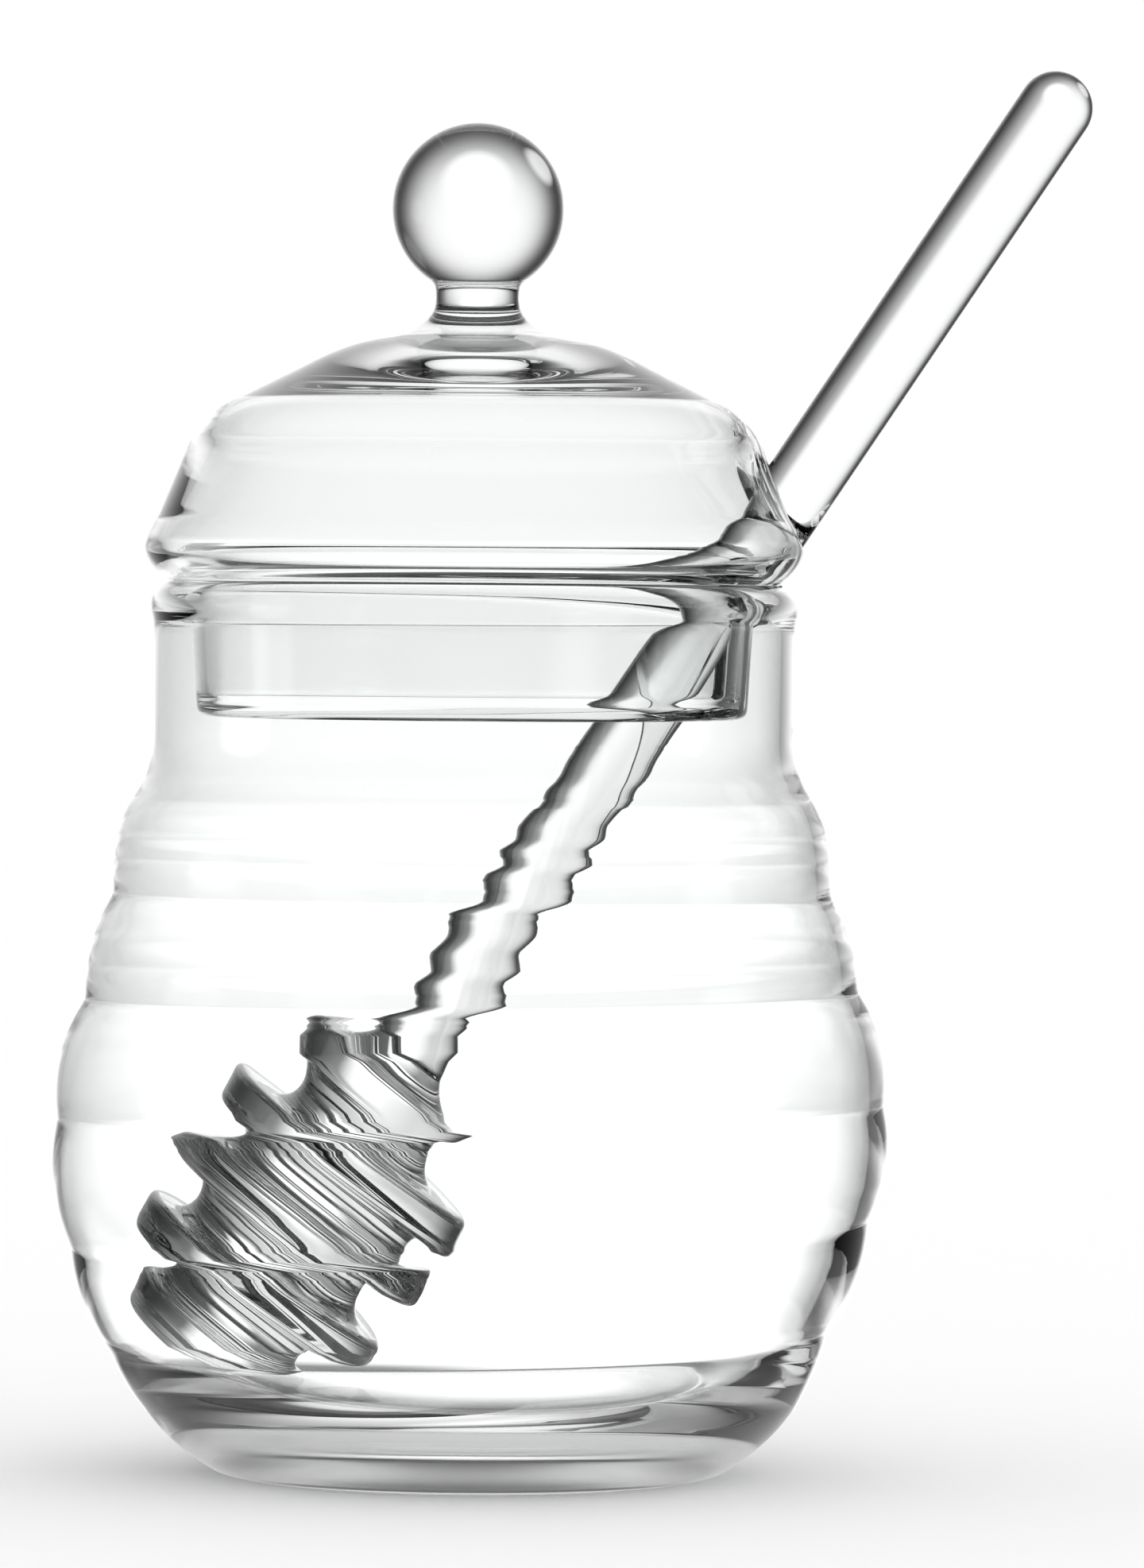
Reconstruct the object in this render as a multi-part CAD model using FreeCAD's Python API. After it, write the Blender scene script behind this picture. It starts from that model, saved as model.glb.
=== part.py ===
import FreeCAD, Part

import math
import os

# A glass honey jar in the shape of a beehive, with its domed lid and its ringed glass dipper.
# Three loose pieces: the lid hangs by its bead on the rim of the jar, and the dipper stands on the
# jar's floor, leans on the rim and leaves through a notch in the lid.
# +Z is up, the axis of the jar is the Z axis, the jar stands on Z = 0 and the dipper leans to +X.
# All sizes are in millimetres and degrees.

# Jar: outside
FOOT_RADIUS = 27.8
FOOT_EDGE = 0.9          # rounded edge round the flat foot
FOOT_EDGE_RISE = 0.4
BELLY_RADIUS = 45.0      # envelope of the widest bulge
NECK_RADIUS = 34.4
RIBBED_HEIGHT = 61.9     # foot to the uppermost groove
CREST_HEIGHT = 3.2       # uppermost groove to the crest below the shoulder
SHOULDER_HEIGHT = 13.4   # crest to the straight neck
NECK_HEIGHT = 16.9       # straight neck and lip
CREST_BOW = 0.03         # bow of the short wall between them, as a share of its chord
SHOULDER_TURN = 0.56     # share of the shoulder's S-curve that is the outward bow

# The grooves between the bulges, from the foot up: share of the ribbed height, reach from the nearer
# narrow end (foot or neck) out to the belly, and bow of the bulge below as a share of its chord.
GROOVES_OVER_FOOT = ((0.223, 0.620, 0.094), (0.410, 0.875, 0.073))
GROOVES_UNDER_NECK = ((0.625, 0.940, 0.090), (0.827, 0.665, 0.103), (1.000, 0.385, 0.083))
GROOVE_ROUND = 1.1       # reach of the soft floor of an outer groove, each way

# Jar: glass
WALL = 1.2               # neck and upper body
HEEL_WALL = 4.6          # wall reached at the foot
HEEL_THINNING = 5        # power of the height by which the heel thins to the wall
BASE_THICKNESS = 5.7
FLOOR_RADIUS = 24.0
FLOOR_DISH = 0.5         # rise of the floor from its middle to FLOOR_RADIUS
HEEL_BOW = 0.130         # bow of the inner heel as a share of its chord
INNER_BOW = 0.85         # bow of the inner bulges as a share of the outer ones
LIP_HEIGHT = 4.2
LIP_REACH = 0.35         # how far the lip stands out of the neck
LIP_NOSE = 0.75          # radius of the fire-polished top of the lip
LIP_INSET = 1.35         # neck radius to the middle of the nose

# Lid
SEAT_GAP = 0.1           # lid above the top of the lip
BEAD_REACH = 1.1         # widest line of the hollow bead beyond the jar's neck
BEAD_RISE = 3.5          # seat to that line
BEAD_HEIGHT = 6.8        # seat to the foot of the dome's wall
BEAD_WALL = 1.3
DOME_INSET = 1.5         # foot of the dome's wall inside the bead's widest line
DOME_WALL_HEIGHT = 8.0
DOME_TAPER = 3.3         # how far the wall leans in over its height
SHOULDER_RISE = 4.8      # top of the wall to the upper edge of the round shoulder
SHOULDER_DEPTH = 5.4
SLOPE_RISE = 3.4         # the straight slope above the shoulder
SLOPE_DEPTH = 6.8
CROWN_RISE = 3.4         # the bowed crown above the slope
LID_WALL = 1.4           # foot of the dome's wall, measured across
LID_SHOULDER_WALL = 2.3  # top of the dome's wall, measured across
CEILING_INSET = 9.7      # gently bowed ceiling under the thick crown, inside the top of the wall
CEILING_DROP = 3.3       # middle of the ceiling below the top of the slope
CEILING_FALL = 0.2       # how far the ceiling falls towards its edge
DROOP_RADIUS = 7.3       # the lens of glass that sags under the knob
DROOP_DEPTH = 0.7
SKIRT_CLEARANCE = 1.9    # skirt inside the nose of the lip
SKIRT_DEPTH = 14.6       # seat to the skirt's lower edge
SKIRT_WALL = 1.7
SKIRT_EDGE = 1.0         # radius of the fire-polished lower edge
SKIRT_DRAFT = 0.6        # how far the skirt narrows towards its lower edge
FOLD_HEIGHT = 2.3        # seat to the top of the straight skirt

# Knob
KNOB_RADIUS = 9.2
KNOB_NECK_RADIUS = 4.6
KNOB_NECK_HEIGHT = 2.9   # root of the flare to where the ball begins
FLARE_HEIGHT = 2.7
FLARE_REACH = 4.4        # the flare's foot on the crown beyond the knob's neck

# Dipper
DIPPER_LENGTH = 167.4
ROD_RADIUS = 4.0
RING_COUNT = 5
RING_PITCH = 8.2
RING_THICKNESS = 3.7
RING_EDGE = 1.1          # rounding of a ring's rim where the groove beside it is deep
HEAD_RADIUS = 16.15      # widest ring
HEAD_HALF_LENGTH = 21.4  # half length of the ellipse that the rings fill
CORE_SHARE = 0.66        # floor of a groove as a share of that ellipse
GROOVE_FILL = 0.34       # how far a groove's round floor climbs the ring beside it, of its depth
GROOVE_BOW = 0.38        # bow of that floor, as a share of its chord
END_BULGE = 1.0          # round end face below the last ring
ROD_FLARE = 2.0          # how much wider the rod is where it meets the first ring
ROD_FLARE_HEIGHT = 2.6
LEAN = 33.6              # degrees from upright
REST_CLEARANCE = 0.15    # dipper to the rim and to the glass below

# Notch in the lid
NOTCH_CLEARANCE = 1.2    # each side of the rod
NOTCH_HEADROOM = 0.5     # over the rod where it leaves the dome


# ---- profile tools: a point is (radius, height) in the XZ plane ----

def vector(point):
    return FreeCAD.Vector(point[0], 0, point[1])


def line(start, end):
    return Part.LineSegment(vector(start), vector(end)).toShape()


def arc(start, middle, end):
    """A circular arc, as a spline where its circle reaches over the Z axis and would sweep a torus
    that crosses itself."""
    curve = Part.Arc(vector(start), vector(middle), vector(end))
    edge = curve.toShape()
    circle = edge.Curve
    on_axis = abs(circle.Center.x) < 1e-6
    return edge if on_axis or circle.Center.x > circle.Radius else curve.toBSpline().toShape()


def bowed(start, end, bow):
    """An arc whose middle stands off the chord by bow, to the right of the way from start to end."""
    run = (end[0] - start[0], end[1] - start[1])
    length = math.hypot(*run)
    middle = ((start[0] + end[0]) / 2 + bow * run[1] / length,
              (start[1] + end[1]) / 2 - bow * run[0] / length)
    return arc(start, middle, end)


def bowed_share(start, end, share):
    return bowed(start, end, share * math.dist(start, end))


def around(centre, radius, degrees):
    angle = math.radians(degrees)
    return (centre[0] + radius * math.cos(angle), centre[1] + radius * math.sin(angle))


def arc_around(centre, radius, first, last):
    return arc(around(centre, radius, first), around(centre, radius, (first + last) / 2),
               around(centre, radius, last))


def s_curve(low, high, low_share):
    """Two arcs that touch each other, upright at both ends; low_share of the way is the lower one."""
    turn = 2 * math.atan2(low[0] - high[0], high[1] - low[1])
    if abs(turn) < 1e-6:
        return [line(low, high)]
    total = (high[1] - low[1]) / math.sin(turn)
    low_radius = total * low_share
    high_radius = total - low_radius
    turn = math.degrees(turn)
    low_centre = (low[0] - low_radius, low[1])
    high_centre = (high[0] + high_radius, high[1])
    return [arc_around(low_centre, low_radius, 0, turn),
            arc_around(high_centre, high_radius, 180 + turn, 180)]


def revolved(edges):
    """The solid swept round the Z axis by a closed profile of edges in order."""
    profile = Part.Face(Part.Wire(edges))
    solid = profile.revolve(FreeCAD.Vector(), FreeCAD.Vector(0, 0, 1), 360)
    return Part.Solid(Part.Shell(solid.Faces)) if solid.ShapeType != "Solid" else solid


# ---- jar ----

RIM_HEIGHT = RIBBED_HEIGHT + CREST_HEIGHT + SHOULDER_HEIGHT + NECK_HEIGHT
CREST = RIBBED_HEIGHT + CREST_HEIGHT
NECK_FOOT = CREST + SHOULDER_HEIGHT
NOSE = (NECK_RADIUS - LIP_INSET, RIM_HEIGHT - LIP_NOSE)
INNER_NECK = NECK_RADIUS - WALL


def towards(start, end, distance):
    """The point that lies at a distance from start on the way to end."""
    share = distance / math.dist(start, end)
    return (start[0] + share * (end[0] - start[0]), start[1] + share * (end[1] - start[1]))


def soft_bulges(points, shares):
    """Bulges from point to point, each bowed by its share, with a round floor in each groove between
    two of them. The floor turns by as much as the two bulges' ends differ in direction."""
    edges = []
    at = points[0]
    for n, share in enumerate(shares):
        last = n == len(shares) - 1
        end = points[n + 1] if last else towards(points[n + 1], points[n], GROOVE_ROUND)
        edges.append(bowed_share(at, end, share))
        if last:
            return edges
        at = towards(points[n + 1], points[n + 2], GROOVE_ROUND)
        rise = [math.atan2(high[1] - low[1], high[0] - low[0])
                for low, high in zip(points[n:n + 2], points[n + 1:n + 3])]
        turn = rise[1] - rise[0] - 2 * math.atan(2 * share) - 2 * math.atan(2 * shares[n + 1])
        edges.append(bowed_share(end, at, math.tan(turn / 4) / 2))


def groove_points():
    """(radius, height, bow share of the bulge below) of every groove, from the foot up."""
    points = []
    for start, rows in ((FOOT_RADIUS, GROOVES_OVER_FOOT), (NECK_RADIUS, GROOVES_UNDER_NECK)):
        for height_share, reach, bow in rows:
            radius = start + reach * (BELLY_RADIUS - start)
            points.append((radius, height_share * RIBBED_HEIGHT, bow))
    return points


def wall_at(height):
    """Thickness of the body's wall, which grows towards the foot."""
    return WALL + (HEEL_WALL - WALL) * (1 - height / RIBBED_HEIGHT) ** HEEL_THINNING


def jar_outside():
    """From the middle of the foot up to the top of the lip."""
    foot = (FOOT_RADIUS - FOOT_EDGE, 0)
    side = (FOOT_RADIUS, FOOT_EDGE_RISE)
    edges = [line((0, 0), foot), bowed_share(foot, side, 0.08)]
    grooves = groove_points()
    crest = (grooves[-1][0], CREST)
    lip_foot = (NECK_RADIUS, RIM_HEIGHT - LIP_HEIGHT)
    lip_side = (NECK_RADIUS + LIP_REACH, RIM_HEIGHT - 0.6 * LIP_HEIGHT)
    nose_top = (NOSE[0], RIM_HEIGHT)
    points = [side] + [groove[:2] for groove in grooves] + [crest]
    edges += soft_bulges(points, [groove[2] for groove in grooves] + [CREST_BOW])
    edges += s_curve(crest, (NECK_RADIUS, NECK_FOOT), SHOULDER_TURN)
    edges.append(line((NECK_RADIUS, NECK_FOOT), lip_foot))
    edges.append(bowed_share(lip_foot, lip_side, 0.06))
    edges.append(bowed_share(lip_side, nose_top, 0.16))
    return edges


def jar_inside():
    """From the top of the lip down to the middle of the floor."""
    nose_top = (NOSE[0], RIM_HEIGHT)
    nose_side = (NOSE[0] - LIP_NOSE, NOSE[1])
    lip_foot = (INNER_NECK, RIM_HEIGHT - LIP_HEIGHT)
    neck_foot = (INNER_NECK, NECK_FOOT)
    grooves = groove_points()
    crest = (grooves[-1][0] - WALL, CREST)
    shoulder = s_curve(crest, neck_foot, SHOULDER_TURN)
    edges = [arc(nose_top, around(NOSE, LIP_NOSE, 135), nose_side)]
    edges.append(bowed_share(nose_side, lip_foot, -0.04))
    edges.append(line(lip_foot, neck_foot))
    edges += shoulder[::-1]
    high = crest
    bow = -CREST_BOW
    for radius, height, bow_below in grooves[::-1]:
        low = (radius - wall_at(height), height)
        edges.append(bowed_share(high, low, bow))
        high = low
        bow = -INNER_BOW * bow_below
    floor_edge = (FLOOR_RADIUS, BASE_THICKNESS + FLOOR_DISH)
    edges.append(bowed_share(high, floor_edge, -HEEL_BOW))
    edges.append(bowed_share(floor_edge, (0, BASE_THICKNESS), -0.01))
    return edges


def make_jar():
    return revolved(jar_outside() + jar_inside() + [line((0, BASE_THICKNESS), (0, 0))])


# ---- lid ----

SEAT = (NOSE[0], RIM_HEIGHT + SEAT_GAP)
SKIRT_RADIUS = NOSE[0] - LIP_NOSE - SKIRT_CLEARANCE
BEAD_RADIUS = NECK_RADIUS + BEAD_REACH
DOME_FOOT = (BEAD_RADIUS - DOME_INSET, SEAT[1] + BEAD_HEIGHT)
DOME_TOP = (DOME_FOOT[0] - DOME_TAPER, DOME_FOOT[1] + DOME_WALL_HEIGHT)
SLOPE_FOOT = (DOME_TOP[0] - SHOULDER_DEPTH, DOME_TOP[1] + SHOULDER_RISE)
SLOPE_TOP = (SLOPE_FOOT[0] - SLOPE_DEPTH, SLOPE_FOOT[1] + SLOPE_RISE)
CROWN_TOP = (KNOB_NECK_RADIUS + FLARE_REACH, SLOPE_TOP[1] + CROWN_RISE)
CEILING = SLOPE_TOP[1] - CEILING_DROP
NECK_ROOT = (KNOB_NECK_RADIUS, CROWN_TOP[1] + FLARE_HEIGHT)
BALL_FOOT = (KNOB_NECK_RADIUS, NECK_ROOT[1] + KNOB_NECK_HEIGHT)
KNOB_CENTRE = BALL_FOOT[1] + math.sqrt(KNOB_RADIUS ** 2 - KNOB_NECK_RADIUS ** 2)


def knob_outside():
    """From the top of the ball down to the crown."""
    end = -math.degrees(math.acos(KNOB_NECK_RADIUS / KNOB_RADIUS))
    return [arc_around((0, KNOB_CENTRE), KNOB_RADIUS, 90, end),
            bowed_share(BALL_FOOT, NECK_ROOT, 0.06),
            bowed_share(NECK_ROOT, CROWN_TOP, 0.13)]


def lid_outside():
    """From the top of the knob down to the lower edge of the skirt."""
    bead_side = (BEAD_RADIUS, SEAT[1] + BEAD_RISE)
    skirt_top = (SKIRT_RADIUS, SEAT[1] - FOLD_HEIGHT)
    skirt_end = SEAT[1] - SKIRT_DEPTH + SKIRT_EDGE
    edge_centre = (SKIRT_RADIUS - SKIRT_DRAFT - SKIRT_EDGE, skirt_end)
    return knob_outside() + [
        bowed_share(CROWN_TOP, SLOPE_TOP, -0.043),
        line(SLOPE_TOP, SLOPE_FOOT),
        bowed_share(SLOPE_FOOT, DOME_TOP, -0.10),
        line(DOME_TOP, DOME_FOOT),
        bowed_share(DOME_FOOT, bead_side, -0.04),
        bowed_share(bead_side, SEAT, -0.11),
        bowed_share(SEAT, skirt_top, 0.12),
        line(skirt_top, (SKIRT_RADIUS - SKIRT_DRAFT, skirt_end)),
        arc_around(edge_centre, SKIRT_EDGE, 0, -180),
    ]


def lid_inside():
    """From the lower edge of the skirt up to the middle of the ceiling."""
    skirt_end = (SKIRT_RADIUS - SKIRT_DRAFT - 2 * SKIRT_EDGE, SEAT[1] - SKIRT_DEPTH + SKIRT_EDGE)
    skirt_foot = (SKIRT_RADIUS - SKIRT_DRAFT - SKIRT_WALL, skirt_end[1] + SKIRT_EDGE)
    skirt_top = (SKIRT_RADIUS - SKIRT_WALL, SEAT[1] - FOLD_HEIGHT)
    fold = (SEAT[0] - BEAD_WALL, SEAT[1] + BEAD_WALL)
    bead_side = (BEAD_RADIUS - BEAD_WALL, SEAT[1] + BEAD_RISE)
    dome_foot = (DOME_FOOT[0] - LID_WALL, DOME_FOOT[1])
    dome_top = (DOME_TOP[0] - LID_SHOULDER_WALL, DOME_TOP[1])
    ceiling_edge = (DOME_TOP[0] - CEILING_INSET, CEILING - CEILING_FALL)
    droop_edge = (DROOP_RADIUS, CEILING)
    return [
        bowed_share(skirt_end, skirt_foot, -0.1),
        line(skirt_foot, skirt_top),
        bowed_share(skirt_top, fold, -0.12),
        bowed_share(fold, bead_side, 0.10),
        bowed_share(bead_side, dome_foot, 0.04),
        line(dome_foot, dome_top),
        bowed_share(dome_top, ceiling_edge, 0.13),
        bowed_share(ceiling_edge, droop_edge, 0.02),
        bowed(droop_edge, (0, CEILING - DROOP_DEPTH), -DROOP_DEPTH / 4),
    ]


def make_lid(notch):
    axis = line((0, CEILING - DROOP_DEPTH), (0, KNOB_CENTRE + KNOB_RADIUS))
    return revolved(lid_outside() + lid_inside() + [axis]).cut(notch).Solids[0]


# ---- dipper: its own axis is +Z, its lowest point the origin ----

def head_radius(height):
    """Radius of the ellipse that the rings fill, at a height above the dipper's lower end."""
    middle = END_BULGE + RING_THICKNESS / 2 + RING_PITCH * (RING_COUNT - 1) / 2
    return HEAD_RADIUS * math.sqrt(1 - ((height - middle) / HEAD_HALF_LENGTH) ** 2)


def rim_round(depth):
    """Rounding of a ring's rim beside a groove of this depth: small where the groove is shallow."""
    return RING_EDGE * depth / (depth + 1.3 * RING_EDGE)


def ring(height, core_below, core_above):
    """The rim of one ring: its ends lie on the two flanks, at the edge of the grooves' floors."""
    radius = head_radius(height)
    low = height - RING_THICKNESS / 2
    high = height + RING_THICKNESS / 2
    below = rim_round(radius - core_below)
    above = rim_round(radius - core_above)
    foot = core_below + GROOVE_FILL * (radius - core_below)
    top = core_above + GROOVE_FILL * (radius - core_above)
    return [line((foot, low), (radius - below, low)),
            arc_around((radius - below, low + below), below, -90, 0),
            line((radius, low + below), (radius, high - above)),
            arc_around((radius - above, high - above), above, 0, 90),
            line((radius - above, high), (top, high))]


def dipper_outside():
    """From the lower end up to the round tip of the rod."""
    heights = [END_BULGE + RING_THICKNESS / 2 + RING_PITCH * n for n in range(RING_COUNT)]
    cores = [CORE_SHARE * head_radius(height + RING_PITCH / 2) for height in heights[:-1]]
    flare = ROD_RADIUS + ROD_FLARE
    edges = []
    at = (0, 0)
    for height, below, above in zip(heights, [flare] + cores, cores + [flare]):
        rim = ring(height, below, above)
        start = (rim[0].Vertexes[0].Point.x, rim[0].Vertexes[0].Point.z)
        sag = -GROOVE_BOW if edges else 0.02
        edges.append(bowed_share(at, start, sag))
        edges += rim
        at = (rim[-1].Vertexes[-1].Point.x, rim[-1].Vertexes[-1].Point.z)
    rod_foot = (ROD_RADIUS, at[1] + ROD_FLARE_HEIGHT)
    tip = (0, DIPPER_LENGTH - ROD_RADIUS)
    edges.append(bowed_share(at, rod_foot, -0.14))
    edges.append(line(rod_foot, (ROD_RADIUS, tip[1])))
    edges.append(arc_around(tip, ROD_RADIUS, 0, 90))
    return edges


def place_dipper(foot):
    """The placement that leans the dipper to +X with its lower end at foot (x, z)."""
    turn = FreeCAD.Rotation(FreeCAD.Vector(0, 1, 0), LEAN)
    return FreeCAD.Placement(FreeCAD.Vector(foot[0], 0, foot[1]), turn)


def resting_foot():
    """Lower end (x, z) of the dipper: its rod touches the nose of the rim, its head the glass below."""
    lean = math.radians(LEAN)
    reach = (ROD_RADIUS + LIP_NOSE + REST_CLEARANCE) / math.cos(lean)
    through = (NOSE[0] - reach, NOSE[1])
    right = Part.Wire(dipper_outside())
    left = right.mirror(FreeCAD.Vector(), FreeCAD.Vector(1, 0, 0))
    outline = Part.Compound([right, left])
    glass = Part.Wire(jar_inside()).mirror(FreeCAD.Vector(), FreeCAD.Vector(1, 0, 0))
    near = 0.0
    far = through[1] / math.cos(lean)
    for _ in range(24):
        down = (near + far) / 2
        foot = (through[0] - down * math.sin(lean), through[1] - down * math.cos(lean))
        outline.Placement = place_dipper(foot)
        clear = foot[1] > BASE_THICKNESS and outline.distToShape(glass)[0] > REST_CLEARANCE
        near, far = (down, far) if clear else (near, down)
    return (through[0] - near * math.sin(lean), through[1] - near * math.cos(lean))


def make_dipper(foot):
    dipper = revolved(dipper_outside() + [line((0, DIPPER_LENGTH), (0, 0))])
    dipper.Placement = place_dipper(foot)
    return dipper


def make_notch(foot):
    """The arched slot, open at the skirt's lower edge, through which the rod leaves the lid."""
    lean = math.radians(LEAN)
    slope = DOME_TAPER / DOME_WALL_HEIGHT
    upper_side = foot[0] - foot[1] * math.tan(lean) - ROD_RADIUS / math.cos(lean)
    leaves = (DOME_FOOT[0] + slope * DOME_FOOT[1] - upper_side) / (math.tan(lean) + slope)
    half = ROD_RADIUS + NOTCH_CLEARANCE
    spring = leaves + NOTCH_HEADROOM - half
    low = SEAT[1] - SKIRT_DEPTH - SKIRT_EDGE
    start = SKIRT_RADIUS - SKIRT_WALL - 2 * BEAD_WALL - half
    corners = [FreeCAD.Vector(start, side * half, height)
               for side, height in ((-1, low), (1, low), (1, spring), (-1, spring))]
    crown = FreeCAD.Vector(start, 0, spring + half)
    outline = Part.Wire([
        Part.LineSegment(corners[0], corners[1]).toShape(),
        Part.LineSegment(corners[1], corners[2]).toShape(),
        Part.Arc(corners[2], crown, corners[3]).toShape(),
        Part.LineSegment(corners[3], corners[0]).toShape(),
    ])
    return Part.Face(outline).extrude(FreeCAD.Vector(BEAD_RADIUS, 0, 0))


def main():
    os.makedirs("parts", exist_ok=True)
    foot = resting_foot()
    pieces = {"jar": make_jar(), "lid": make_lid(make_notch(foot)), "dipper": make_dipper(foot)}
    for name, solid in pieces.items():
        print(name, solid.ShapeType, solid.isValid(), round(solid.Volume / 1000, 2), "cm3", solid.BoundBox)
        solid.exportStep(f"parts/{name}.step")


main()
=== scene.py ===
import math

import bmesh
import bpy
import numpy as np
from mathutils import Matrix, Vector


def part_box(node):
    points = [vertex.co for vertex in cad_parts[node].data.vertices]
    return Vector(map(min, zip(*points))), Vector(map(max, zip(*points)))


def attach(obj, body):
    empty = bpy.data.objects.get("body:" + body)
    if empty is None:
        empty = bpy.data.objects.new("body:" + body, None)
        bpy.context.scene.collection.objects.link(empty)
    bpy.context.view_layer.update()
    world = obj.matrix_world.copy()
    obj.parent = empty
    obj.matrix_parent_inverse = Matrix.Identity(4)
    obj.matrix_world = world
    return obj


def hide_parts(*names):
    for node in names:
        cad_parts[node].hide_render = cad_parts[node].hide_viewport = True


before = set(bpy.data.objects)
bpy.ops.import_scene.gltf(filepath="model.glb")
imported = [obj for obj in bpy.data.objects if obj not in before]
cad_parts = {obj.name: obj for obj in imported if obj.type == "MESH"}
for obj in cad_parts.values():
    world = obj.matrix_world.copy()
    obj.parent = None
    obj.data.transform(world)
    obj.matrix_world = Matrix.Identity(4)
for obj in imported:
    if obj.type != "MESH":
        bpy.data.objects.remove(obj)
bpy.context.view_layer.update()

# A clear glass honey jar in the shape of a beehive, its domed lid and its ringed dipper.
# Profiles are in millimetres, (radius, height), and become metres when a mesh is made.
# The stage is in metres. Glass shows a dark studio with a few bright places, and the camera sees white.

MM = 0.001
STEP = 0.22  # spacing of a profile's points while its corners are rounded


# ---- profile tools ----

def bow(start, end, share, count=24):
    """Points of an arc that stands off its chord by share of the chord, to the right of the way."""
    start, end = np.array(start, float), np.array(end, float)
    run = end - start
    if abs(share) < 1e-6:
        return start + np.linspace(0, 1, count)[:, None] * run
    length = np.hypot(*run)
    right = np.array([run[1], -run[0]]) / length
    sag = share * length
    radius = (length * length / 4 + sag * sag) / (2 * sag)
    centre = (start + end) / 2 + right * (sag - radius)
    first = math.atan2(*(start - centre)[::-1])
    last = math.atan2(*(end - centre)[::-1])
    turn = (last - first + math.pi) % (2 * math.pi) - math.pi
    angles = first + np.linspace(0, 1, count) * turn
    return centre + abs(radius) * np.stack([np.cos(angles), np.sin(angles)], 1)


def turn_arc(centre, radius, first, last, count=24):
    """Points of an arc between two angles in degrees."""
    angles = np.radians(np.linspace(first, last, count))
    return np.array(centre) + radius * np.stack([np.cos(angles), np.sin(angles)], 1)


def s_curve(low, high, low_share):
    """Two arcs that touch each other, upright at both ends."""
    turn = 2 * math.atan2(low[0] - high[0], high[1] - low[1])
    total = (high[1] - low[1]) / math.sin(turn)
    low_radius = total * low_share
    high_radius = total - low_radius
    turn = math.degrees(turn)
    return join(turn_arc((low[0] - low_radius, low[1]), low_radius, 0, turn),
                turn_arc((high[0] + high_radius, high[1]), high_radius, 180 + turn, 180))


def join(*parts):
    """One polyline from pieces whose ends meet."""
    out = [np.asarray(parts[0], float)]
    for part in parts[1:]:
        part = np.asarray(part, float)
        out.append(part[1:] if np.hypot(*(part[0] - out[-1][-1])) < 1e-6 else part)
    return np.concatenate(out)


def even(points):
    """The same polyline with evenly spaced points."""
    lengths = np.hypot(*np.diff(points, axis=0).T)
    along = np.concatenate([[0], np.cumsum(lengths)])
    count = max(2, int(round(along[-1] / STEP)) + 1)
    at = np.linspace(0, along[-1], count)
    return np.stack([np.interp(at, along, points[:, 0]), np.interp(at, along, points[:, 1])], 1)


def soften(points, sigma):
    """Rounds every corner of an evenly spaced polyline, whose ends stay where they are."""
    reach = int(math.ceil(3 * sigma / STEP))
    weights = np.exp(-0.5 * (np.arange(-reach, reach + 1) * STEP / sigma) ** 2)
    weights /= weights.sum()
    head = 2 * points[0] - points[reach:0:-1]
    tail = 2 * points[-1] - points[-2:-reach - 2:-1]
    longer = np.concatenate([head, points, tail])
    return np.stack([np.convolve(longer[:, n], weights, "valid") for n in range(2)], 1)


def outline(parts, sigma):
    """One evenly spaced line through all the parts, with its corners rounded."""
    return soften(even(join(*parts)), sigma)


def thin(points, turn=1.3, gap=2.5):
    """Leaves out points where the line hardly turns: a point stays once the line has turned by turn
    degrees or run on by gap since the last one."""
    way = np.diff(points, axis=0)
    heading = np.degrees(np.unwrap(np.arctan2(way[:, 1], way[:, 0])))
    kept = [0]
    for n in range(1, len(points) - 1):
        far = np.hypot(*(points[n + 1] - points[kept[-1]])) > gap
        if far or np.ptp(heading[kept[-1]:n + 1]) > turn:
            kept.append(n)
    return points[kept + [len(points) - 1]]


# ---- mesh tools ----

def polar(radius, height, angle):
    return np.stack([radius * np.cos(angle), radius * np.sin(angle), height], -1)


def make_object(name, vertices, faces, material):
    mesh = bpy.data.meshes.new(name)
    mesh.from_pydata([tuple(v) for v in vertices * MM], [], faces)
    mesh.materials.append(material)
    mesh.shade_smooth()
    mesh.validate()
    made = bpy.data.objects.new(name, mesh)
    bpy.context.scene.collection.objects.link(made)
    return made


def revolve(name, profile, columns, material, shape=polar):
    """A closed surface swept from a profile that starts and ends on the axis.
    shape(radius, height, angle) returns the places of the points."""
    inner = profile[1:-1]
    rows = len(inner)
    angles = np.linspace(0, 2 * math.pi, columns, endpoint=False)
    radius = np.repeat(inner[:, :1], columns, 1)
    height = np.repeat(inner[:, 1:], columns, 1)
    angle = np.repeat(angles[None, :], rows, 0)
    grid = shape(radius, height, angle).reshape(-1, 3)
    ends = np.array([[0, 0, profile[0, 1]], [0, 0, profile[-1, 1]]])
    first, last = rows * columns, rows * columns + 1
    top = first - columns
    faces = []
    for c in range(columns):
        d = (c + 1) % columns
        faces.append((first, d, c))
        faces.append((last, top + c, top + d))
    for low in range(0, top, columns):
        high = low + columns
        for c in range(columns):
            d = (c + 1) % columns
            faces.append((low + c, low + d, high + d, high + c))
    return make_object(name, np.concatenate([grid, ends]), faces, material)


# ---- shader tools ----

def new_material(name):
    material = bpy.data.materials.new(name)
    material.use_nodes = True
    material.node_tree.nodes.clear()
    return material, material.node_tree


def maths_in(tree):
    """A function that adds a maths node to the tree and returns its output."""
    def maths(kind, first, second):
        node = tree.nodes.new("ShaderNodeMath")
        node.operation = kind
        for slot, value in zip(node.inputs, (first, second)):
            if isinstance(value, (int, float)):
                slot.default_value = value
            else:
                tree.links.new(value, slot)
        return node.outputs[0]
    return maths


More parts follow.
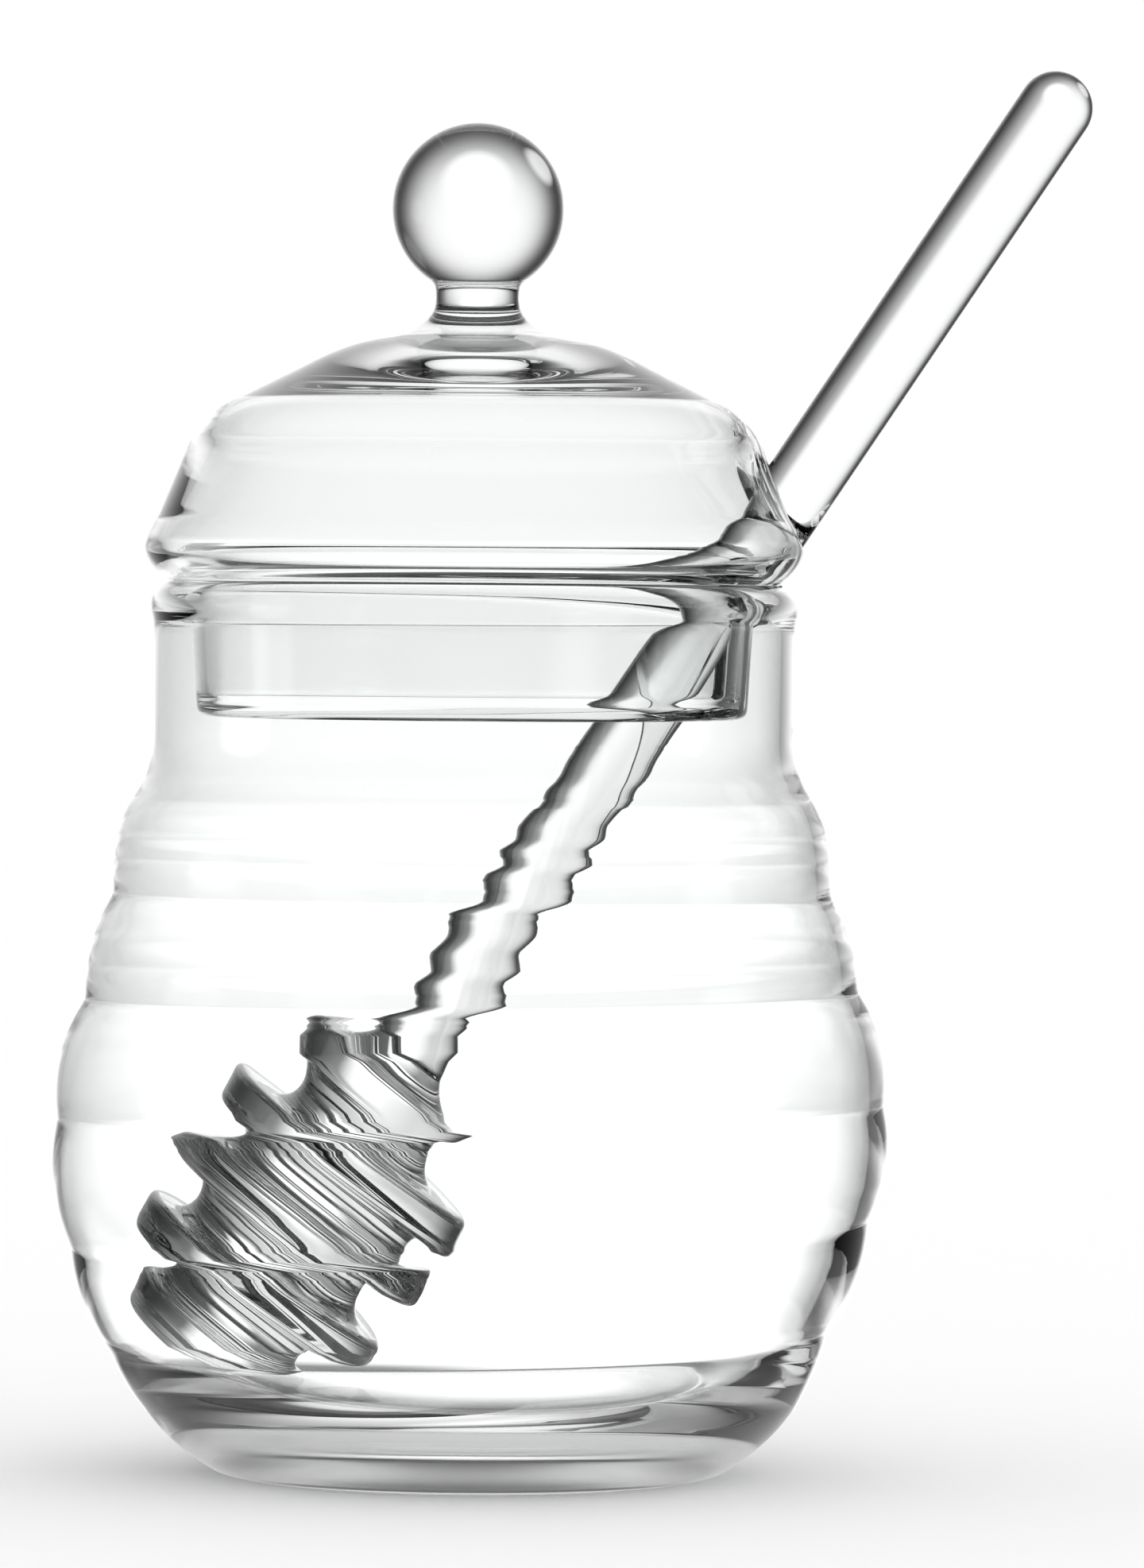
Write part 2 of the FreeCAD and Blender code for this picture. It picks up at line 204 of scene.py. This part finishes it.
def smooth_step(tree, value, start, end):
    """0 at start and 1 at end, with a soft way between."""
    node = tree.nodes.new("ShaderNodeMapRange")
    node.interpolation_type = "SMOOTHSTEP"
    node.inputs["From Min"].default_value = min(start, end)
    node.inputs["From Max"].default_value = max(start, end)
    if start > end:
        node.inputs["To Min"].default_value = 1
        node.inputs["To Max"].default_value = 0
    tree.links.new(value, node.inputs["Value"])
    return node.outputs[0]


def reach_from_origin(tree):
    """The distance from the object's own origin."""
    place = tree.nodes.new("ShaderNodeTexCoord")
    reach = tree.nodes.new("ShaderNodeVectorMath")
    reach.operation = "LENGTH"
    tree.links.new(place.outputs["Object"], reach.inputs[0])
    return reach.outputs["Value"]


def mix_shaders(tree, share, first, second):
    """The first shader where share is 0 and the second where it is 1."""
    mix = tree.nodes.new("ShaderNodeMixShader")
    for value, slot in zip((share, first, second), mix.inputs):
        tree.links.new(value, slot)
    return mix.outputs[0]


def crossed_glass(tree, maths):
    """1 for a ray that has just come through or off the glass."""
    path = tree.nodes.new("ShaderNodeLightPath")
    return maths("MAXIMUM", path.outputs["Is Transmission Ray"], path.outputs["Is Glossy Ray"])


def glass_ray(tree):
    """1 for a ray of the camera's that comes through or off the glass."""
    maths = maths_in(tree)
    path = tree.nodes.new("ShaderNodeLightPath")
    seen = maths("LESS_THAN", path.outputs["Diffuse Depth"], 0.5)
    return maths("MULTIPLY", seen, crossed_glass(tree, maths))


# ---- glass ----

GLASS_COLOUR = (0.985, 0.992, 0.99, 1)
GLASS_IOR = 1.47
DULL = 0.3                    # roughness of the ring that the jar stands on, a guess
DULL_MIDDLE = 0.3             # share of it in the middle of the underside
DULL_RING = (0.012, 0.024)    # radii between which that share rises to 1
DULL_RISE = (0.0001, 0.0003)  # heights between which the dull foot turns into polished glass


def glass(name, wave_scale, wave_depth):
    """Clear borosilicate glass with the faint waves of glass worked by hand."""
    material = bpy.data.materials.new(name)
    material.use_nodes = True
    nodes, links = material.node_tree.nodes, material.node_tree.links
    shader = nodes["Principled BSDF"]
    shader.inputs["Base Color"].default_value = GLASS_COLOUR
    shader.inputs["Roughness"].default_value = 0.0
    shader.inputs["IOR"].default_value = GLASS_IOR
    shader.inputs["Transmission Weight"].default_value = 1.0
    place = nodes.new("ShaderNodeTexCoord")
    stretch = nodes.new("ShaderNodeMapping")
    stretch.inputs["Scale"].default_value = wave_scale
    noise = nodes.new("ShaderNodeTexNoise")
    noise.inputs["Scale"].default_value = 1.0
    noise.inputs["Detail"].default_value = 1.5
    bump = nodes.new("ShaderNodeBump")
    bump.inputs["Strength"].default_value = 1.0
    bump.inputs["Distance"].default_value = wave_depth
    links.new(place.outputs["Object"], stretch.inputs["Vector"])
    links.new(stretch.outputs["Vector"], noise.inputs["Vector"])
    links.new(noise.outputs["Fac"], bump.inputs["Height"])
    links.new(bump.outputs["Normal"], shader.inputs["Normal"])
    return material


def dull_foot(material):
    """The flat underside is dull from standing, most of all near its rim. The rest stays polished."""
    tree = material.node_tree
    maths = maths_in(tree)
    place = tree.nodes.new("ShaderNodeTexCoord")
    split = tree.nodes.new("ShaderNodeSeparateXYZ")
    low = tree.nodes.new("ShaderNodeMapRange")
    low.inputs["From Min"].default_value = DULL_RISE[0]
    low.inputs["From Max"].default_value = DULL_RISE[1]
    low.inputs["To Min"].default_value = DULL
    low.inputs["To Max"].default_value = 0.0
    tree.links.new(place.outputs["Object"], split.inputs["Vector"])
    tree.links.new(split.outputs["Z"], low.inputs["Value"])
    ring = smooth_step(tree, reach_from_origin(tree), *DULL_RING)
    share = maths("ADD", maths("MULTIPLY", ring, 1 - DULL_MIDDLE), DULL_MIDDLE)
    rough = maths("MULTIPLY", low.outputs["Result"], share)
    tree.links.new(rough, tree.nodes["Principled BSDF"].inputs["Roughness"])


# ---- jar ----

JAR_COLUMNS = 224
FOOT_FLAT = 26.9            # radius of the flat underside
FOOT = (27.8, 0.4)          # the heel's lowest corner
# each groove between two bulges, and how far the bulge below it stands off its chord
GROOVES = ((38.46, 13.80, .094), (42.85, 25.38, .073), (44.36, 38.69, .090), (41.45, 51.19, .103),
           (38.48, 61.9, .083))
RIBBED = 61.9               # height of the last groove
CREST = 65.1                # where the shoulder begins
CREST_BOW = 0.03
SHOULDER_SHARE = 0.56       # share of the shoulder's S that belongs to its lower arc
NECK = 34.4
NECK_FOOT = 78.5
LIP_FOOT = 91.2
LIP_SIDE = (34.75, 92.88)
RIM = 95.4
NOSE = (33.05, 94.65)       # centre of the rim's round inner edge
NOSE_RADIUS = 0.75
WALL = 1.05
HEEL_WALL = 3.5             # what the wall gains at the table
HEEL_THINNING = 5           # how fast that gain is lost upwards
INNER_SHARE = 0.85          # an inner bulge's bow as a share of the outer one's
FLOOR_EDGE = (24.0, 6.2)
FLOOR_MIDDLE = (0, 5.7)

# (heights, amounts): the grooves' rise towards +X, the inner wall's shift towards -X, the part of the inner
# wall that is rounded more, and the depth of the ripples in it
CLIMB = ((7, 13.8, 25.4, 38.7, 51.2, 61.9, 66), (0, 1.2, 1.6, 1.0, .7, 0, 0))
SHIFT = ((7, 16, 30, 62, 76, 91, 94.3), (0, .7, .45, .42, .4, .3, 0))
SOFT_PART = ((9, 12, 66, 72), (0, 1, 1, 0))
RIPPLE = ((45, 50, 70, 79), (0, .022, .022, 0))


def wall_at(height):
    return WALL + HEEL_WALL * np.clip(1 - height / RIBBED, 0, 1) ** HEEL_THINNING


def ripple(line):
    """Fine uneven waves of drawn-out glass along the inner wall."""
    way = np.gradient(line, axis=0)
    right = np.stack([way[:, 1], -way[:, 0]], 1) / np.hypot(*way.T)[:, None]
    z = line[:, 1]
    wave = np.sin(2 * math.pi * z / 3.3 + 1.5 * np.sin(2 * math.pi * z / 17))
    wave *= 0.8 + 0.5 * np.sin(2 * math.pi * z / 9.5 + 2)
    return line + right * (wave * np.interp(z, *RIPPLE))[:, None]


def jar_profile():
    """The outer line from the axis up to the rim, and the inner one from there down to the axis."""
    parts = [bow((0, 0), (FOOT_FLAT, 0), 0), bow((FOOT_FLAT, 0), FOOT, .08)]
    low = FOOT
    for radius, height, share in GROOVES:
        parts.append(bow(low, (radius, height), share))
        low = (radius, height)
    crest = (low[0], CREST)
    parts += [
        bow(low, crest, CREST_BOW),
        s_curve(crest, (NECK, NECK_FOOT), SHOULDER_SHARE),
        bow((NECK, NECK_FOOT), (NECK, LIP_FOOT), 0),
        bow((NECK, LIP_FOOT), LIP_SIDE, .06),
        bow(LIP_SIDE, (NOSE[0], RIM), .16),
    ]
    outside = outline(parts, 0.55)

    neck = NECK - WALL
    high = (GROOVES[-1][0] - wall_at(CREST), CREST)
    parts = [
        turn_arc(NOSE, NOSE_RADIUS, 90, 180),
        bow((NOSE[0] - NOSE_RADIUS, NOSE[1]), (neck, LIP_FOOT), -.04),
        bow((neck, LIP_FOOT), (neck, NECK_FOOT), 0),
        s_curve(high, (neck, NECK_FOOT), SHOULDER_SHARE)[::-1],
    ]
    share = -CREST_BOW
    for radius, height, below in GROOVES[::-1]:
        low = (radius - wall_at(height), height)
        parts.append(bow(high, low, share))
        high = low
        share = -INNER_SHARE * below
    parts.append(bow(high, FLOOR_EDGE, -.13))
    parts.append(bow(FLOOR_EDGE, FLOOR_MIDDLE, -.01))
    inside = outline(parts, 0.3)
    soft = np.interp(inside[:, 1], *SOFT_PART)[:, None]
    inside = inside * (1 - soft) + soften(inside, 1.0) * soft
    return thin(outside), thin(ripple(inside), 0.9, 1.0)


def uneven(radius, height, angle, inner):
    """The blown wall: thinner at -X than at +X, with grooves that climb a little towards +X."""
    cos = np.cos(angle)
    radius = radius - np.interp(height, *SHIFT) * inner * cos
    return polar(radius, height + np.interp(height, *CLIMB) * cos, angle)


def make_jar(material):
    outside, inside = jar_profile()
    profile = join(outside, inside)
    inner = (np.arange(1, len(profile) - 1) >= len(outside)).astype(float)[:, None]
    return revolve("jar_glass", profile, JAR_COLUMNS, material,
                   lambda radius, height, angle: uneven(radius, height, angle, inner))


# ---- lid ----

LID_COLUMNS = 224
KNOB = (0, 135.5)
KNOB_RADIUS = 9.2
STEM = (4.6, 124.6)
STEM_FOOT = (9.0, 121.9)
CROWN = (18.5, 118.5)
BROW = (25.3, 115.1)
DOME = (30.7, 110.3)
DOME_FOOT = (34.0, 102.3)
BEAD_SIDE = (35.5, 99.0)
SEAT = (33.05, 95.5)        # where the bead's underside sits on the jar's rim
SKIRT = 30.25
SKIRT_TOP = 93.2
SKIRT_LOW = 81.95
SKIRT_TAPER = 0.6           # how much narrower the skirt is at its lower edge
SKIRT_EDGE = 1.0            # radius of that edge
SKIRT_WALL = 1.75
SKIRT_SHIFT = ((82, 93.2, 97), (.45, .45, 0))  # heights, and the inner face's shift towards -X
SHIFT_FROM = 82.2           # the skirt's edge below this height stays round
LID_SIGMA = 0.35            # rounding of the lid's corners

NOTCH_HALF = 5.0            # half the notch's width
NOTCH_APEX = 109.5
NOTCH_RISE = 0.3            # rise of the notch's crown for each mm inwards
NOTCH_AT = 31.6             # radius at which the crown is at its named height
NOTCH_LEVELS = (26, 80, 13)  # points along the notch's arch, its side and the skirt's lower edge
MELT = 0.8                  # the most that the melted edge swells into the notch
MELT_POINTS = 15


def lid_profile():
    """The outer line from the knob's top down to the skirt's lower edge, and the inner one from there
    up to the ceiling."""
    low = SKIRT - SKIRT_TAPER
    edge = (low - SKIRT_EDGE, SKIRT_LOW)
    knob = turn_arc(KNOB, KNOB_RADIUS, 90, -60, 60)
    outside = [
        knob,
        bow(knob[-1], STEM, .06),
        bow(STEM, STEM_FOOT, .13),
        bow(STEM_FOOT, CROWN, -.043),
        bow(CROWN, BROW, 0),
        bow(BROW, DOME, -.10),
        bow(DOME, DOME_FOOT, 0),
        bow(DOME_FOOT, BEAD_SIDE, -.04),
        bow(BEAD_SIDE, SEAT, -.11),
        bow(SEAT, (SKIRT, SKIRT_TOP), .12),
        bow((SKIRT, SKIRT_TOP), (low, SKIRT_LOW), 0),
        turn_arc(edge, SKIRT_EDGE, 0, -90),
    ]
    inside = [
        turn_arc(edge, SKIRT_EDGE, -90, -180),
        bow((low - 2 * SKIRT_EDGE, SKIRT_LOW), (low - SKIRT_WALL, 83.05), -.1),
        bow((low - SKIRT_WALL, 83.05), (SKIRT - SKIRT_WALL, SKIRT_TOP), 0),
        bow((SKIRT - SKIRT_WALL, SKIRT_TOP), (31.75, 96.8), -.12),
        bow((31.75, 96.8), (34.2, 99.0), .10),
        bow((34.2, 99.0), (32.6, 102.3), .04),
        bow((32.6, 102.3), (28.4, 110.3), 0),
        bow((28.4, 110.3), (22.5, 114.9), .17),
        bow((22.5, 114.9), (7.3, 115.2), .012),
        bow((7.3, 115.2), (0, 114.5), -.024),
    ]
    return thin(outline(outside, LID_SIGMA)), thin(outline(inside, LID_SIGMA))


def notch_level(points):
    """Height of a point, measured along the notch's crown where that rises a little inwards."""
    share = np.clip((points[..., 1] - 98) / 10, 0, 1)
    share = share * share * (3 - 2 * share)
    return points[..., 1] - NOTCH_RISE * np.clip(NOTCH_AT - points[..., 0], -5, 5) * share


def cut_rows(line, levels):
    """The line's points above the notch, then its points at the given levels."""
    level = notch_level(line)
    top = np.argmax(level < levels[0] - 1e-9)
    rest = line[top - 1:]
    fall = -notch_level(rest)
    at = np.stack([np.interp(-levels, fall, rest[:, 0]), np.interp(-levels, fall, rest[:, 1])], 1)
    return line[:top], at


def sweep_past_notch(whole, at, half):
    """Rows of points from one side of the notch round to the other. half is the notch's half width at
    each of its levels."""
    line = np.concatenate([whole, at])
    gap = np.concatenate([np.zeros(len(whole)), np.arcsin(half / at[:, 0])])
    share = np.linspace(0, 1, LID_COLUMNS + 1)[None, :]
    angle = gap[:, None] + share * (2 * math.pi - 2 * gap[:, None])
    radius = np.repeat(line[:, :1], LID_COLUMNS + 1, 1)
    height = np.repeat(line[:, 1:], LID_COLUMNS + 1, 1)
    return polar(radius, height, angle)


def melted_edge(outer, inner, levels, half, spring, side):
    """A strip from the outer to the inner surface along one side of the notch, which bulges into it."""
    outward = np.stack([np.zeros(len(levels)), side * half / NOTCH_HALF,
                        np.clip(levels - spring, 0, None) / NOTCH_HALF], 1)
    into = -outward / np.maximum(np.linalg.norm(outward, axis=1), 1e-9)[:, None]
    turn = np.linspace(0, math.pi, MELT_POINTS)
    across = ((1 - np.cos(turn)) / 2)[None, :, None]
    swell = np.minimum(0.5 * np.linalg.norm(inner - outer, axis=1), MELT)
    return (outer[:, None] * (1 - across) + inner[:, None] * across
            + into[:, None] * (swell[:, None] * np.sin(turn)[None, :])[..., None])


def make_lid(material):
    """The dome is swept from one side of the notch round to the other, and the cut edge of the glass is
    rounded as if melted."""
    spring = NOTCH_APEX - NOTCH_HALF
    arch, straight, edge = NOTCH_LEVELS
    levels = np.concatenate([
        spring + NOTCH_HALF * np.cos(np.linspace(0, math.pi / 2, arch)),
        np.linspace(spring, SKIRT_LOW, straight)[1:],
        (SKIRT_LOW - SKIRT_EDGE * np.sin(np.linspace(0, math.pi / 2, edge)))[1:],
    ])
    half = np.sqrt(np.clip(NOTCH_HALF ** 2 - np.clip(levels - spring, 0, None) ** 2, 0, None))

    outside, inside = lid_profile()
    outer = sweep_past_notch(*cut_rows(outside, levels), half)
    inner = sweep_past_notch(*cut_rows(inside[::-1], levels), half)
    x, y, z = np.moveaxis(inner, -1, 0)
    turn = np.arctan2(y, x)
    shift = np.interp(z, *SKIRT_SHIFT) * (z > SHIFT_FROM)
    inner = polar(np.hypot(x, y) - shift * np.cos(turn), z, turn)

    vertices, faces = [], []

    def add_grid(points, forward):
        base = len(vertices)
        rows, columns = points.shape[:2]
        vertices.extend(points.reshape(-1, 3))
        for row in range(rows - 1):
            for column in range(columns - 1):
                a = base + row * columns + column
                quad = (a, a + 1, a + columns + 1, a + columns)
                faces.append(quad if forward else quad[::-1])

    add_grid(outer, True)
    add_grid(inner, False)
    count = len(levels)
    for side, column in ((1, 0), (-1, LID_COLUMNS)):
        strip = melted_edge(outer[-count:, column], inner[-count:, column], levels, half, spring, side)
        add_grid(strip, side < 0)
    made = make_object("lid_glass", np.array(vertices), faces, material)
    work = bmesh.new()
    work.from_mesh(made.data)
    bmesh.ops.remove_doubles(work, verts=work.verts, dist=2e-6)
    bmesh.ops.dissolve_degenerate(work, dist=1e-7, edges=work.edges)
    bmesh.ops.recalc_face_normals(work, faces=work.faces)
    work.to_mesh(made.data)
    work.free()
    made.data.shade_smooth()
    return made


# ---- dipper ----

DIPPER_COLUMNS = 144
LENGTH = 167.4
ROD = 4.0
LEAN = 33.6                 # degrees from upright
RINGS = 5
PITCH = 8.2
THICK = 3.7                 # height of a ring's rim
FIRST_RING = 1.0            # height of the lowest ring's lower side
HEAD_RADIUS = 16.15         # the rings' rims lie on an ellipsoid of this radius
HEAD_HALF = 21.4            # and this half height
CORE_SHARE = 0.66           # a groove's depth, as the share of the head's radius that is left
FLARE = 2.0                 # what the rod gains where it meets the head
FLARE_RISE = 2.6
EDGE = 0.85                 # rounding of a ring's edges
GROOVE_FILL = 0.34          # share of a groove's depth that its round floor takes up
GROOVE_BOW = 0.38


def head_radius(height):
    middle = FIRST_RING + THICK / 2 + PITCH * (RINGS - 1) / 2
    return HEAD_RADIUS * math.sqrt(1 - ((height - middle) / HEAD_HALF) ** 2)


def dipper_profile():
    heights = [FIRST_RING + THICK / 2 + PITCH * n for n in range(RINGS)]
    cores = [CORE_SHARE * head_radius(h + PITCH / 2) for h in heights[:-1]]
    flare = ROD + FLARE
    parts = []
    at = (0, 0)
    for height, below, above in zip(heights, [flare] + cores, cores + [flare]):
        radius = head_radius(height)
        low, high = height - THICK / 2, height + THICK / 2
        low_edge = EDGE * (radius - below) / (radius - below + 1.3 * EDGE)
        high_edge = EDGE * (radius - above) / (radius - above + 1.3 * EDGE)
        foot = (below + GROOVE_FILL * (radius - below), low)
        top = (above + GROOVE_FILL * (radius - above), high)
        parts += [
            bow(at, foot, -GROOVE_BOW if parts else .02),
            bow(foot, (radius - low_edge, low), 0),
            turn_arc((radius - low_edge, low + low_edge), low_edge, -90, 0, 12),
            turn_arc((radius - high_edge, high - high_edge), high_edge, 0, 90, 12),
            bow((radius - high_edge, high), top, 0),
        ]
        at = top
    rod_foot = (ROD, at[1] + FLARE_RISE)
    parts += [
        bow(at, rod_foot, -.14),
        bow(rod_foot, (ROD, LENGTH - ROD), 0),
        turn_arc((0, LENGTH - ROD), ROD, 0, 90, 40),
    ]
    return thin(outline(parts, 0.2))


def make_dipper(material):
    """The dipper leans towards +X. Its round tip touches the CAD dipper's box at +X and at the top."""
    made = revolve("dipper_glass", dipper_profile(), DIPPER_COLUMNS, material)
    lean = math.radians(LEAN)
    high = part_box("dipper")[1]
    way = Vector((math.sin(lean), 0, math.cos(lean)))
    tip = Vector((high.x / MM - ROD, 0, high.z / MM - ROD))
    foot = tip - way * (LENGTH - ROD)
    made.data.transform(Matrix.Translation(foot * MM) @ Matrix.Rotation(lean, 4, "Y"))
    return made


jar_material = glass("jar_glass", (12, 12, 60), 0.00002)
dull_foot(jar_material)
lid_material = glass("lid_glass", (14, 14, 40), 0.00002)
dipper_material = glass("dipper_glass", (40, 40, 20), 0.00001)
pieces = {"jar": make_jar(jar_material), "lid": make_lid(lid_material),
          "dipper": make_dipper(dipper_material)}
for node, piece in pieces.items():
    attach(piece, "root")
    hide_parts(node)


# ---- stage ----

FLOOR_SIZE = 8
FLOOR_COLOUR = (0.9, 0.9, 0.9, 1)
PAINTED_POOL_LEVEL = 0.65              # brightness of a painted pool of light on the table round the foot, an emission that only the lower glass shows
PAINTED_POOL_EDGE = (0.075, 0.045)  # radii between which it rises
FEW_SURFACES = 3.5              # a ray through more doesn't see it, so the dipper's head stays dark
GLOW_PLACE = (-0.010, 0.255, 0.180)
GLOW_RADIUS = 0.180             # where the glow behind the jar is half as bright as in its middle
GLOW_SIZE = 1.6
GLOW_LEVEL = 1.1

# Bright patches: the direction in degrees from +X and above the table, and the angles from a patch's
# middle at which it begins to fade and has faded. WALLS lie just where the views from azimuth 90, 45 and
# 225 look. The glass is clear in those views and nearly black from most other sides, which is a fault.
# Levels above 1 make up for what the glass reflects away.
BEHIND = (90, -10, 0, 20)
BEHIND_LEVEL = 2.0
WALLS = ((180, -2, 8, 15), (135, -25, 7, 15), (315, -15, 9, 15))
WALL_LEVEL = 0.9
TABLE_FALL = (-0.45, -0.8)      # the steepness of the way down between which the table grows pale
TABLE_LEVEL = 0.04
DARK_LEVEL = 0.005
TABLE_GAIN = 0.13               # makes up for the table's colour, so that it is white
SHADOW_GAIN = 0.4               # keeps the shadow of the clear glass faint

CAMERA_PLACE = (0.0106, -0.94, 0.0949)
CAMERA_AIM = (0.0106, 0, 0.0739)
CAMERA_ROLL = 0.5
LENS = 201.0


def make_floor():
    """A white table that catches the shadow. The glass shows the studio beyond it, apart from a painted
    pool of light on the table round the foot, an emission that only the glass sees."""
    bpy.ops.mesh.primitive_plane_add(size=FLOOR_SIZE, location=(0, 0, -0.0002))
    floor = bpy.context.object
    floor.name = "floor"
    material, tree = new_material("floor")
    maths = maths_in(tree)
    diffuse = tree.nodes.new("ShaderNodeBsdfDiffuse")
    diffuse.inputs["Color"].default_value = FLOOR_COLOUR
    clear = tree.nodes.new("ShaderNodeBsdfTransparent")
    # painted pool of light: the table round the foot glows for glass rays that crossed few surfaces
    light = tree.nodes.new("ShaderNodeEmission")
    light.inputs["Strength"].default_value = PAINTED_POOL_LEVEL
    path = tree.nodes.new("ShaderNodeLightPath")
    near = smooth_step(tree, reach_from_origin(tree), *PAINTED_POOL_EDGE)
    near = maths("MULTIPLY", near, maths("LESS_THAN", path.outputs["Transmission Depth"], FEW_SURFACES))
    shown = mix_shaders(tree, near, clear.outputs[0], light.outputs[0])
    both = mix_shaders(tree, glass_ray(tree), diffuse.outputs[0], shown)
    out = tree.nodes.new("ShaderNodeOutputMaterial")
    tree.links.new(both, out.inputs["Surface"])
    material.cycles.emission_sampling = "NONE"
    floor.data.materials.append(material)


def make_glow():
    """The round glow of a lamp on the wall behind the jar. Only the glass shows it."""
    bpy.ops.mesh.primitive_plane_add(size=GLOW_SIZE, location=(0, 0, 0))
    glow = bpy.context.object
    glow.name = "glow"
    glow.data.transform(Matrix.Rotation(math.radians(90), 4, "X"))
    glow.location = GLOW_PLACE
    material, tree = new_material("glow")
    maths = maths_in(tree)
    fall = maths("POWER", maths("DIVIDE", reach_from_origin(tree), GLOW_RADIUS), 4.0)
    share = maths("DIVIDE", 1.0, maths("ADD", 1.0, fall))
    clear = tree.nodes.new("ShaderNodeBsdfTransparent")
    light = tree.nodes.new("ShaderNodeEmission")
    light.inputs["Strength"].default_value = GLOW_LEVEL
    both = mix_shaders(tree, maths("MULTIPLY", share, glass_ray(tree)), clear.outputs[0], light.outputs[0])
    out = tree.nodes.new("ShaderNodeOutputMaterial")
    tree.links.new(both, out.inputs["Surface"])
    material.cycles.emission_sampling = "NONE"
    glow.data.materials.append(material)


def make_world():
    """White for the camera and for the table. Glass sees bright patches of wall in a dark room."""
    world = bpy.data.worlds.new("studio")
    bpy.context.scene.world = world
    world.use_nodes = True
    tree = world.node_tree
    tree.nodes.clear()
    maths = maths_in(tree)
    place = tree.nodes.new("ShaderNodeTexCoord")
    split = tree.nodes.new("ShaderNodeSeparateXYZ")
    tree.links.new(place.outputs["Generated"], split.inputs[0])
    x, y, z = split.outputs

    def patch(towards, rise, inner, outer):
        a, b = math.radians(towards), math.radians(rise)
        middle = (math.cos(a) * math.cos(b), math.sin(a) * math.cos(b), math.sin(b))
        flat = maths("ADD", maths("MULTIPLY", x, middle[0]), maths("MULTIPLY", y, middle[1]))
        near = maths("ADD", flat, maths("MULTIPLY", z, middle[2]))
        return smooth_step(tree, near, math.cos(math.radians(outer)), math.cos(math.radians(inner)))

    def background(level):
        node = tree.nodes.new("ShaderNodeBackground")
        node.inputs["Color"].default_value = (1, 1, 1, 1)
        tree.links.new(level, node.inputs["Strength"])
        return node.outputs[0]

    walls = patch(*WALLS[0])
    for spot in WALLS[1:]:
        walls = maths("MAXIMUM", walls, patch(*spot))
    behind = maths("MULTIPLY", patch(*BEHIND), BEHIND_LEVEL)
    bright = maths("ADD", behind, maths("MULTIPLY", walls, WALL_LEVEL))
    table = maths("MULTIPLY", smooth_step(tree, z, *TABLE_FALL), TABLE_LEVEL)
    shown = maths("ADD", bright, maths("ADD", table, DARK_LEVEL))

    path = tree.nodes.new("ShaderNodeLightPath")
    bounced = maths("GREATER_THAN", path.outputs["Diffuse Depth"], 0.5)
    plain = maths("ADD", maths("MULTIPLY", bounced, TABLE_GAIN), 1.0)
    plain = maths("ADD", plain, maths("MULTIPLY", crossed_glass(tree, maths), SHADOW_GAIN))

    out = tree.nodes.new("ShaderNodeOutputWorld")
    both = mix_shaders(tree, glass_ray(tree), background(plain), background(shown))
    tree.links.new(both, out.inputs["Surface"])


def make_camera():
    camera = bpy.data.cameras.new("camera")
    camera.sensor_width = 36
    camera.lens = LENS
    camera.clip_start = 0.01
    camera.clip_end = 20
    made = bpy.data.objects.new("camera", camera)
    bpy.context.scene.collection.objects.link(made)
    place = Vector(CAMERA_PLACE)
    look = (Vector(CAMERA_AIM) - place).to_track_quat("-Z", "Y")
    roll = Matrix.Rotation(math.radians(CAMERA_ROLL), 4, "Z")
    made.location = place
    made.rotation_mode = "QUATERNION"
    made.rotation_quaternion = (look.to_matrix().to_4x4() @ roll).to_quaternion()
    bpy.context.scene.camera = made


make_floor()
make_glow()
make_world()
make_camera()
scene = bpy.context.scene
scene.view_settings.view_transform = "Standard"
scene.cycles.max_bounces = 32
scene.cycles.transmission_bounces = 32
scene.cycles.glossy_bounces = 16
